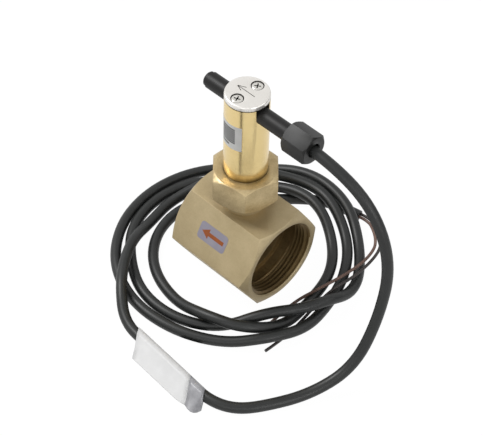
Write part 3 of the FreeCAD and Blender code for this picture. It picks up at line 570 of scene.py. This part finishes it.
def plated(name, colour, rough, shade_from, shade_to, reach, rings=()):
    """Plated metal with painted shade: dark below a ramp between two heights, and within each (spot,
    reach) ring.
    """
    made, tree, shader, where = start_material(name, Metallic=0.6)
    parts = tree.nodes.new("ShaderNodeSeparateXYZ")
    tree.links.new(where, parts.inputs[0])
    marks = use_group(tree, LATHE_MARKS, Vector=where, Lines=3000.0)
    low = ramp(tree, parts.outputs["Z"], shade_from, shade_to)
    radius = math_node(tree, "SQRT", math_node(
        tree, "ADD", math_node(tree, "POWER", parts.outputs["X"], 2.0),
        math_node(tree, "POWER", parts.outputs["Y"], 2.0)))
    inside = math_node(tree, "LESS_THAN", radius, reach)
    recess_shade = math_node(tree, "MULTIPLY", low, inside)
    for spot, ring_reach in rings:
        recess_shade = math_node(tree, "MAXIMUM", recess_shade, near_spot(tree, parts, spot, ring_reach))
    patina = use_group(tree, PATINA, Vector=where, Color=colour,
                       Aged=srgb(222, 217, 208), Amount=0.3, Specks=0.1)
    # Painted shade: the recesses are mixed towards a dark colour here, and made rougher below.
    shade = mix_colour(tree, recess_shade, patina.outputs["Color"], srgb(34, 30, 26))
    tree.links.new(shade, shader.inputs["Base Color"])
    tree.links.new(math_node(tree, "MULTIPLY_ADD", recess_shade, 0.4, rough), shader.inputs["Roughness"])
    bump(tree, shader, marks.outputs["Height"], 0.000006)
    return made


SCREW_SPOTS = {}
for end in ("front", "back"):
    low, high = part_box(f"clamp_screw_{end}")
    SCREW_SPOTS[end] = (low + high) / 2
# Reaches and depths of the painted shade: a disc round each screw, the engraved area, and the recesses
# below each top.
SHADE_RING_REACH = 0.0037
COVER_SHADE_DEPTHS = (0.00004, 0.00012)
SCREW_SHADE_DEPTHS = (0.00014, 0.0003)
ENGRAVING_REACH = 0.0112
COVER_PLATE = plated("plated cover", srgb(248, 245, 240), 0.3,
                     COVER_TOP - COVER_SHADE_DEPTHS[0], COVER_TOP - COVER_SHADE_DEPTHS[1], ENGRAVING_REACH,
                     rings=[(spot, SHADE_RING_REACH) for spot in SCREW_SPOTS.values()])
SCREW_STEEL = plated("screw steel", srgb(232, 230, 224), 0.22,
                     SCREW_TOP - SCREW_SHADE_DEPTHS[0], SCREW_TOP - SCREW_SHADE_DEPTHS[1], 1.0)


def plain_metal(name, colour, rough):
    made, tree, shader, where = start_material(name, Metallic=1.0)
    patina = use_group(tree, PATINA, Vector=where, Color=colour, Aged=srgb(120, 118, 112),
                       Amount=0.4)
    tree.links.new(patina.outputs["Color"], shader.inputs["Base Color"])
    tree.links.new(math_node(tree, "MULTIPLY_ADD", patina.outputs["Mask"], 0.15, rough),
                   shader.inputs["Roughness"])
    return made


PLAIN_STEEL = plain_metal("plain steel", srgb(198, 198, 194), 0.3)
MAGNET_PLATE = plain_metal("magnet plating", srgb(176, 176, 178), 0.18)

# %% [markdown]
# Black plastic and the rubbery sheath differ mostly in gloss and grain. Both get faint
# lighter patches, because a flat black has no form under soft light.

# %% Plastics, rubber and film
def plastic(name, colour, lighter, rough, grain=3000.0, depth=0.00001, **settings):
    made, tree, shader, where = start_material(name, **settings)
    texture = use_group(tree, GRAIN, Vector=where, Scale=grain)
    patch = ramp(tree, texture.outputs["Blotch"], 0.4, 0.7)
    tree.links.new(mix_colour(tree, patch, colour, lighter), shader.inputs["Base Color"])
    tree.links.new(math_node(tree, "MULTIPLY_ADD", texture.outputs["Blotch"], 0.14, rough),
                   shader.inputs["Roughness"])
    bump(tree, shader, texture.outputs["Height"], depth)
    return made


TUBE_BLACK = plastic("black tube", srgb(18, 17, 16), srgb(26, 25, 24), 0.4, Specular_IOR_Level=0.35)
GLAND_BLACK = plastic("gland plastic", srgb(20, 20, 19), srgb(26, 26, 25), 0.3, Specular_IOR_Level=0.3)
SHEATH = plastic("cable sheath", srgb(22, 24, 23), srgb(30, 32, 31), 0.38, 1800.0, 0.00002)
SEAL_RUBBER = plastic("seal rubber", srgb(28, 28, 28), srgb(40, 40, 40), 0.6)
WHITE_PLASTIC = plastic("white plastic", srgb(226, 225, 220), srgb(214, 212, 206), 0.45)
BROWN_CORE = plastic("brown core", srgb(112, 86, 76), srgb(134, 106, 94), 0.42)
BLACK_CORE = plastic("black core", srgb(48, 42, 40), srgb(66, 58, 55), 0.42)
GREY_FILM = plastic("marker film", srgb(140, 140, 144), srgb(188, 188, 192), 0.22, 700.0, 0.00004)
LABEL_FILM = plastic("label film", srgb(206, 206, 204), srgb(218, 218, 216), 0.3, 900.0)
WHITE_FILM = plastic("marker paper", srgb(232, 232, 232), srgb(240, 240, 240), 0.4, 1500.0)
STICKER_FILM = plastic("sticker film", srgb(146, 142, 156), srgb(158, 153, 164), 0.34)
ARROW_INK = plastic("arrow ink", srgb(160, 84, 26), srgb(128, 60, 22), 0.4, 1200.0)
INK = plastic("grey ink", srgb(62, 62, 64), srgb(48, 48, 50), 0.4)
GLASS, _, glass_shader, _ = start_material("reed glass", Roughness=0.05, Transmission_Weight=1.0)
glass_shader.inputs["Base Color"].default_value = srgb(206, 230, 216)
print("materials", len(bpy.data.materials))

# %% [markdown]
# A CAD node whose shape is right only needs its material. Those listed here are plain
# inside or hidden pieces, and the table says which finish each one takes.

# %% Finishes of the CAD nodes that stay
NODE_FINISHES = {
    TEE_BRASS: ["branch_nipple"],
    HOUSING_BRASS: ["housing", "pivot_carrier", "paddle_arm"],
    PLAIN_STEEL: ["pivot_pin", "stop_pin", "carrier_clip", "paddle_plate", "paddle_rivets",
                  "reed_blades"],
    MAGNET_PLATE: ["paddle_magnet", "return_magnet"],
    SEAL_RUBBER: ["housing_seal", "cable_grommet"],
    TUBE_BLACK: ["reed_tube", "tube_plug", "cable_resin", "gland_body", "claw_ring"],
    WHITE_PLASTIC: ["reed_boat"],
    BROWN_CORE: ["reed_leads"],
    GLASS: ["reed_capsule"],
    STICKER_FILM: ["direction_sticker"],
}


def give(piece, material):
    """Make this the piece's only material."""
    piece.data.materials.clear()
    piece.data.materials.append(material)
    return piece


for material, names in NODE_FINISHES.items():
    for name in names:
        give(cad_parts[name], material)
give(cable, SHEATH)
give(cores["brown"], BROWN_CORE)
give(cores["black"], BLACK_CORE)

# %% [markdown]
# A CAD solid has knife edges, and real ones catch a line of light. The T-piece, the
# nuts and the tube's gland are copied, their flat faces are merged, and a Bevel
# modifier rounds what is left. The copy then stands in for the solid.

# %% Rounded copies
def rounded_copy(node, name, width, material, body, segments=2, angle=28.0):
    """A copy of a CAD node with its sharp edges rounded, which takes its place."""
    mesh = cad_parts[node].data.copy()
    tidy = bmesh.new()
    tidy.from_mesh(mesh)
    bmesh.ops.remove_doubles(tidy, verts=tidy.verts, dist=0.000002)
    bmesh.ops.dissolve_limit(tidy, angle_limit=math.radians(0.5), verts=tidy.verts,
                             edges=tidy.edges, delimit={"NORMAL"})
    for face in tidy.faces:
        face.smooth = True
    tidy.to_mesh(mesh)
    tidy.free()
    piece = bpy.data.objects.new(name, mesh)
    scene.collection.objects.link(piece)
    bevel = piece.modifiers.new("rounded edges", "BEVEL")
    bevel.width = width
    bevel.segments = segments
    bevel.limit_method = "ANGLE"
    bevel.angle_limit = math.radians(angle)
    bevel.harden_normals = True
    bevel.use_clamp_overlap = True
    give(piece, material)
    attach(piece, body)
    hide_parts(node)
    return piece


tee = rounded_copy("tee_body", "tee_piece", 0.0003, TEE_BRASS, "switch_body")
nut = rounded_copy("union_nut", "union_nut_piece", 0.0004, NUT_BRASS, "nut")
cap = rounded_copy("gland_nut", "gland_nut_piece", 0.0007, GLAND_BLACK,
                   "cap_nut", segments=3)
print("rounded", [len(p.data.polygons) for p in (tee, nut, cap)])

# %% [markdown]
# Each port has an inside pipe thread. It is modelled as one long ridge wound along the
# wall of the plain bore: a small triangle of metal that follows a helix and fades out
# at its inner end. Real geometry casts the dark lines between the crests.

# %% Port threads
THREAD_PITCH = 0.002309
THREAD_DEPTH = 0.0014
THREAD_TURNS = 5.0
BORE_RADIUS = 0.0239
PORT_HEIGHT = (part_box("tee_body")[0].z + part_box("tee_body")[1].z) / 2
PORT_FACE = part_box("tee_body")[1].x


def new_piece(name, vertices, faces, material, body, smooth=True):
    """A piece from lists of corners and faces, riding on a body."""
    mesh = bpy.data.meshes.new(name)
    mesh.from_pydata([tuple(v) for v in vertices], [], faces)
    mesh.validate()
    tidy = bmesh.new()
    tidy.from_mesh(mesh)
    bmesh.ops.recalc_face_normals(tidy, faces=tidy.faces)
    tidy.to_mesh(mesh)
    tidy.free()
    for polygon in mesh.polygons:
        polygon.use_smooth = smooth
    piece = bpy.data.objects.new(name, mesh)
    scene.collection.objects.link(piece)
    give(piece, material)
    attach(piece, body)
    return piece


def bridge(rings, close_ends=True):
    """Faces between rings of equal size, in order, with flat ends."""
    size = rings[1] - rings[0]
    faces = []
    for low, high in zip(rings, rings[1:]):
        for i in range(size):
            j = (i + 1) % size
            faces.append((low + i, low + j, high + j, high + i))
    if close_ends:
        faces.append(tuple(range(rings[0], rings[0] + size)))
        faces.append(tuple(range(rings[-1], rings[-1] + size)))
    return faces


def port_thread(name, side):
    """The ridge of one port's thread, on the side +1 or -1 of the T-piece."""
    steps_per_turn = 72
    steps = int(THREAD_TURNS * steps_per_turn)
    vertices = []
    for step in range(steps + 1):
        angle = 2 * math.pi * step / steps_per_turn
        inward = 0.0012 + THREAD_PITCH * step / steps_per_turn
        left = steps - step
        depth = THREAD_DEPTH * min(1.0, 0.15 + step / 30, 0.02 + left / 60)
        for along, radius in ((-0.47, BORE_RADIUS + 0.00005), (0.47, BORE_RADIUS + 0.00005),
                              (0.1, BORE_RADIUS - depth), (-0.1, BORE_RADIUS - depth)):
            x = side * (PORT_FACE - inward - along * THREAD_PITCH)
            vertices.append((x, radius * math.cos(angle), PORT_HEIGHT + radius * math.sin(angle)))
    rings = list(range(0, len(vertices), 4))
    return new_piece(name, vertices, bridge(rings), BORE_BRASS, "switch_body", False)


threads = [port_thread("inlet_thread", 1), port_thread("outlet_thread", -1)]
print("thread faces", [len(t.data.polygons) for t in threads])

# %% [markdown]
# The bore's wall is darker and shinier than the blasted outside. The T-piece's copy
# therefore gets a second material, given to every face that lies inside the ports.

# %% Bore finish
tee.data.materials.append(BORE_BRASS)
for polygon in tee.data.polygons:
    centre = polygon.center
    off_axis = math.hypot(centre.y, centre.z - PORT_HEIGHT)
    if off_axis < BORE_RADIUS + 0.0001 and abs(polygon.normal.x) < 0.9:
        polygon.material_index = 1
    elif off_axis < BORE_RADIUS - 0.0005 and abs(centre.x) < PORT_FACE - 0.001:
        polygon.material_index = 1

# %% [markdown]
# The cover's arrow is engraved. Cutting it with a boolean gives true grooves with
# walls that shade themselves. The cutter is one thin box for each stroke of the arrow.

# %% Cover with its engraved arrow
ARROW_STROKES = [((0.0054, 0.0), (-0.0072, 0.0)), ((-0.0072, 0.0), (-0.0027, 0.0021)),
                 ((-0.0072, 0.0), (-0.0032, -0.0016))]
STROKE_WIDTH = 0.0004
STROKE_DEPTH = 0.00025


def stroke_box(start, end, low, high, width):
    """The eight corners and six faces of a thin upright box between two spots."""
    a, b = Vector((*start, 0.0)), Vector((*end, 0.0))
    along = (b - a).normalized()
    side = Vector((-along.y, along.x, 0.0)) * width / 2
    base = [a - side, b - side, b + side, a + side]
    corners = [v + Vector((0, 0, low)) for v in base] + [v + Vector((0, 0, high)) for v in base]
    return corners, [(0, 1, 2, 3), (4, 5, 6, 7), (0, 1, 5, 4), (1, 2, 6, 5), (2, 3, 7, 6), (3, 0, 4, 7)]


def merged_boxes(boxes):
    vertices, faces = [], []
    for corners, sides in boxes:
        start = len(vertices)
        vertices += corners
        faces += [tuple(start + i for i in side) for side in sides]
    return vertices, faces


def cut_with(piece, boxes, name):
    """Cut boxes out of a piece and keep the result as its mesh."""
    mesh = bpy.data.meshes.new(name)
    vertices, faces = merged_boxes(boxes)
    mesh.from_pydata([tuple(v) for v in vertices], [], faces)
    tidy = bmesh.new()
    tidy.from_mesh(mesh)
    bmesh.ops.recalc_face_normals(tidy, faces=tidy.faces)
    tidy.to_mesh(mesh)
    tidy.free()
    cutter = bpy.data.objects.new(name, mesh)
    scene.collection.objects.link(cutter)
    boolean = piece.modifiers.new("cut", "BOOLEAN")
    boolean.operation = "DIFFERENCE"
    boolean.solver = "EXACT"
    boolean.use_self = True
    boolean.object = cutter
    bpy.context.view_layer.update()
    result = bpy.data.meshes.new_from_object(piece.evaluated_get(bpy.context.evaluated_depsgraph_get()))
    piece.modifiers.clear()
    piece.data = result
    bpy.data.objects.remove(cutter)


cover = rounded_copy("clamp_cover", "cover_piece", 0.0002, COVER_PLATE,
                     "switch_body", angle=35.0)
cut_with(cover, [stroke_box(a, b, COVER_TOP - STROKE_DEPTH, COVER_TOP + 0.001, STROKE_WIDTH)
                 for a, b in ARROW_STROKES], "arrow_cutter")
print("cover faces", len(cover.data.polygons))

# %% [markdown]
# The clamp screws have cross recesses. Each head is turned as a profile with a faint
# dome, and two crossed wedges are cut out of it.

# %% Clamp screws
def lathe(name, profile, material, body, centre=(0, 0), steps=48):
    """A turned piece about an upright axis, from (radius, height) pairs."""
    vertices = []
    for radius, height in profile:
        for step in range(steps):
            angle = 2 * math.pi * step / steps
            vertices.append((centre[0] + radius * math.cos(angle),
                             centre[1] + radius * math.sin(angle), height))
    rings = list(range(0, len(vertices), steps))
    return new_piece(name, vertices, bridge(rings), material, body)


def cross_boxes(centre, turn, reach, width, low, high):
    """Two crossed boxes for a cross recess."""
    boxes = []
    for angle in (turn, turn + math.pi / 2):
        arm = Vector((math.cos(angle), math.sin(angle))) * reach
        boxes.append(stroke_box(centre - arm, centre + arm, low, high, width))
    return boxes


SCREW_TURNS = {"front": math.radians(20), "back": math.radians(32)}
for end, turn in SCREW_TURNS.items():
    low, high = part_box(f"clamp_screw_{end}")
    centre = Vector(((low.x + high.x) / 2, (low.y + high.y) / 2))
    top, bottom, head = high.z, low.z, (high.x - low.x) / 2
    profile = [(0.0010, bottom), (0.00145, bottom + 0.0007), (0.00145, top - 0.0016),
               (head - 0.0005, top - 0.0005), (head - 0.00005, top - 0.00025),
               (head - 0.00015, top - 0.00012), (head * 0.6, top - 0.00002), (0.0003, top)]
    screw = lathe(f"{end}_screw_piece", profile, SCREW_STEEL, f"{end}_screw", centre)
    cut_with(screw, cross_boxes(centre, turn, 0.0019, 0.00065, top - 0.0013, top + 0.001),
             f"{end}_recess")
    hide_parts(f"clamp_screw_{end}")

# %% [markdown]
# The direction arrow and the label's blocks are printed. A print has no thickness to
# speak of, but a face laid just above the film exports better than a painted mask, so
# each is a sheet a few hundredths of a millimetre thick.

# %% Printed arrow on the sticker
STICKER_LOW, STICKER_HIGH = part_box("direction_sticker")
FLAT_SLOPE = math.radians(60)


def on_sticker(along, up, lift):
    """A place on the sticker: along the pipe, up the slope, and off its face."""
    centre = (STICKER_LOW + STICKER_HIGH) / 2
    slope = Vector((0, math.cos(FLAT_SLOPE), math.sin(FLAT_SLOPE)))
    out = Vector((0, -math.sin(FLAT_SLOPE), math.cos(FLAT_SLOPE)))
    return centre + Vector((along, 0, 0)) + slope * up + out * lift


def printed_shape(name, outline, place, material, body, lift=0.00007, thick=0.00002):
    """A thin printed sheet from an outline, laid with a placing function."""
    vertices = [place(x, y, lift) for x, y in outline] + [place(x, y, lift + thick) for x, y in outline]
    return new_piece(name, vertices, bridge([0, len(outline)]), material, body, False)


ARROW_OUTLINE = [(-0.0082, 0.0), (-0.0030, 0.0031), (-0.0030, 0.0012), (0.0082, 0.0012),
                 (0.0082, -0.0012), (-0.0030, -0.0012), (-0.0030, -0.0031)]
printed_shape("direction_arrow", ARROW_OUTLINE, on_sticker, ARROW_INK, "switch_body")

# %% [markdown]
# The housing's label is silver film bent round the barrel. It stays free of lettering:
# a few plain bars stand where such a label is printed.

# %% Housing label
LABEL_LOW, LABEL_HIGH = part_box("housing_label")
LABEL_RADIUS = 0.01262
give(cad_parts["housing_label"], LABEL_FILM)


def on_barrel(around, up, lift):
    """A place on the barrel: an angle in radians, a height, and off its wall."""
    radius = LABEL_RADIUS + lift
    return Vector((radius * math.cos(around), radius * math.sin(around), up))


def barrel_bar(name, start, end, low, high):
    """A printed bar bent round the barrel between two angles."""
    steps = 10
    spots = []
    for step in range(steps + 1):
        around = math.radians(start + (end - start) * step / steps)
        for up, lift in ((low, 0.00001), (high, 0.00001), (high, 0.00004), (low, 0.00004)):
            spots.append(on_barrel(around, up, lift))
    return new_piece(name, spots, bridge(list(range(0, len(spots), 4))), INK, "switch_body",
                     False)


BAR_COUNT, BAR_PITCH, BAR_HEIGHT = 8, 0.0014, 0.0009
BAR_FROM, BAR_TO = 240, 284
BAR_MARGIN = 0.0032
for row in range(BAR_COUNT):
    base = LABEL_HIGH.z - BAR_MARGIN - BAR_PITCH * row
    barrel_bar(f"label_bar_{row + 1}", BAR_FROM, BAR_TO, base, base + BAR_HEIGHT)
barrel_bar("label_bar_9", 240, 266, LABEL_LOW.z + 0.0022, LABEL_LOW.z + 0.0033)

# %% [markdown]
# The marker is a strip of film folded round the cable and stuck to itself in front of
# it: white where it is printed, clear grey past the print. It is lofted from one
# section, a round loop at the cable that closes into a flat tongue on the floor.

# %% Cable marker
MARKER_START = Vector((0.0535, -0.0862, MARKED))
MARKER_END = Vector((-0.0030, -0.0820, MARKED))
WHITE_SHARE = 0.79
END_SLANT = 0.75


def marker_section(reach):
    """The marker's outline across the cable: (forward, height) pairs."""
    outer = CABLE_RADIUS + 0.0005
    spots = []
    for step in range(15):
        angle = math.radians(62 + (270 - 62) * step / 14)
        spots.append((outer * math.cos(angle), outer * math.sin(angle)))
    spots += [(reach * 0.5, -outer), (reach, -outer), (reach + 0.0003, -outer + 0.0003),
              (reach, -outer + 0.0006), (reach * 0.62, -outer + 0.0014)]
    return [(-forward, height) for forward, height in spots]


def marker_part(name, start, end, reaches, material):
    """A length of the marker, between two shares of its whole length."""
    along = (MARKER_END - MARKER_START)
    heading = along.normalized()
    forward = Vector((heading.y, -heading.x, 0.0))
    vertices = []
    for step, reach in enumerate(reaches):
        share = start + (end - start) * step / (len(reaches) - 1)
        middle = MARKER_START + along * share
        for across, height in marker_section(reach):
            slant = heading * across * END_SLANT
            vertices.append(middle + forward * across + slant + Vector((0, 0, height)))
    size = len(marker_section(0.01))
    rings = list(range(0, len(vertices), size))
    return new_piece(name, vertices, bridge(rings), material, "switch_body")


white = marker_part("marker_white", 1.0, 1.0 - WHITE_SHARE, [0.0110] * 11 + [0.0105, 0.0098], WHITE_FILM)
clear = marker_part("marker_clear", 1.0 - WHITE_SHARE, 0.0,
                    [0.0098, 0.0104, 0.0104, 0.0096, 0.0080, 0.0055], GREY_FILM)
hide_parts("cable_marker")

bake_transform(cable)
line_length(cable_line)

# %% [markdown]
# The stage is a white floor that still takes a soft shadow, under a white world. Both
# look brighter to the camera and to reflections than to the light they give off.

# %% Floor and world
def make_floor():
    mesh = bpy.data.meshes.new("floor")
    mesh.from_pydata([(-3, -3, 0), (3, -3, 0), (3, 3, 0), (-3, 3, 0)], [], [(0, 1, 2, 3)])
    floor = bpy.data.objects.new("floor", mesh)
    scene.collection.objects.link(floor)
    made = bpy.data.materials.new("studio floor")
    made.use_nodes = True
    tree = made.node_tree
    shader = tree.nodes["Principled BSDF"]
    shader.inputs["Base Color"].default_value = (0.75, 0.75, 0.75, 1)
    shader.inputs["Roughness"].default_value = 0.9
    shader.inputs["Specular IOR Level"].default_value = 0.0
    glow = tree.nodes.new("ShaderNodeEmission")
    glow.inputs["Strength"].default_value = 1.05
    seen = tree.nodes.new("ShaderNodeLightPath")
    share = math_node(tree, "MULTIPLY", seen.outputs["Is Camera Ray"], 0.93)
    glossy = math_node(tree, "MULTIPLY", seen.outputs["Is Glossy Ray"], 0.75)
    share = math_node(tree, "MAXIMUM", share, glossy)
    mixed = tree.nodes.new("ShaderNodeMixShader")
    tree.links.new(share, mixed.inputs[0])
    tree.links.new(shader.outputs[0], mixed.inputs[1])
    tree.links.new(glow.outputs[0], mixed.inputs[2])
    tree.links.new(mixed.outputs[0], tree.nodes["Material Output"].inputs["Surface"])
    floor.data.materials.append(made)
    floor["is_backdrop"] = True


def make_world():
    world = bpy.data.worlds.new("studio")
    world.use_nodes = True
    tree = world.node_tree
    background = tree.nodes["Background"]
    seen = tree.nodes.new("ShaderNodeLightPath")
    strength = math_node(tree, "MULTIPLY_ADD", seen.outputs["Is Camera Ray"], 0.78, 0.22)
    glossy = math_node(tree, "MULTIPLY", seen.outputs["Is Glossy Ray"], 0.85)
    strength = math_node(tree, "MAXIMUM", strength, glossy)
    background.inputs["Color"].default_value = (1, 1, 1, 1)
    tree.links.new(strength, background.inputs["Strength"])
    scene.world = world


make_floor()
make_world()

# %% [markdown]
# Four large lamps light the object. A dark card stands out of sight beside it and a dark
# strip lies on the floor: polished brass only looks polished when it has something dark
# to reflect, and a wall seen from above reflects the floor in front of it.

# %% Lamps and dark cards
TARGET = Vector((0.0, 0.0, 0.06))


def lamp(name, place, size, power):
    data = bpy.data.lights.new(name, "AREA")
    data.size = size
    data.energy = power
    made = bpy.data.objects.new(name, data)
    made.location = place
    made.rotation_euler = (TARGET - Vector(place)).to_track_quat("-Z", "Y").to_euler()
    scene.collection.objects.link(made)


def dark_card(name, place, wide, high, shade):
    """A card that only reflections see."""
    mesh = bpy.data.meshes.new(name)
    mesh.from_pydata([(-wide / 2, -high / 2, 0), (wide / 2, -high / 2, 0),
                      (wide / 2, high / 2, 0), (-wide / 2, high / 2, 0)], [], [(0, 1, 2, 3)])
    card = bpy.data.objects.new(name, mesh)
    card.location = place
    card.rotation_euler = (TARGET - Vector(place)).to_track_quat("Z", "Y").to_euler()
    made = bpy.data.materials.new(name)
    made.use_nodes = True
    shader = made.node_tree.nodes["Principled BSDF"]
    shader.inputs["Base Color"].default_value = (shade, shade, shade, 1)
    shader.inputs["Specular IOR Level"].default_value = 0.0
    card.data.materials.append(made)
    card.visible_camera = False
    card.visible_diffuse = False
    card.visible_shadow = False
    scene.collection.objects.link(card)
    card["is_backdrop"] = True


def dark_strip(name, heading, near, far, spread, shade):
    """A wedge just over the floor that draws an upright streak on the housing."""
    corners = [(near, -spread), (far, -spread), (far, spread), (near, spread)]
    mesh = bpy.data.meshes.new(name)
    mesh.from_pydata([(reach * math.cos(heading + turn), reach * math.sin(heading + turn), 0.0004)
                      for reach, turn in corners], [], [(0, 1, 2, 3)])
    strip = bpy.data.objects.new(name, mesh)
    made = bpy.data.materials.new(name)
    made.use_nodes = True
    shader = made.node_tree.nodes["Principled BSDF"]
    shader.inputs["Base Color"].default_value = (shade, shade, shade, 1)
    shader.inputs["Specular IOR Level"].default_value = 0.0
    strip.data.materials.append(made)
    strip.visible_camera = False
    strip.visible_diffuse = False
    strip.visible_shadow = False
    scene.collection.objects.link(strip)
    strip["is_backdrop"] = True


lamp("key lamp", (-0.7, -0.35, 1.0), 0.45, 9.0)
lamp("fill lamp", (0.9, 0.5, 0.8), 0.7, 2.0)
lamp("front lamp", (0.5, -1.1, 0.7), 0.6, 1.8)
lamp("port lamp", (1.2, -0.35, 0.55), 0.5, 3.4)
dark_card("side card", (0.5, 0.5, 0.2), 0.3, 0.4, 0.05)
dark_strip("streak card", math.radians(-72.6), 0.034, 0.2, math.radians(5.5), 0.03)

# %% [markdown]
# The colours were chosen as they look on a screen, so the view transform is Standard,
# which shows them as written. The last cell prints the box round the visible pieces.

# %% Sizes
scene.view_settings.view_transform = "Standard"
low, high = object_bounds()
print("visual box", [round(v, 4) for v in (*low, *high)])
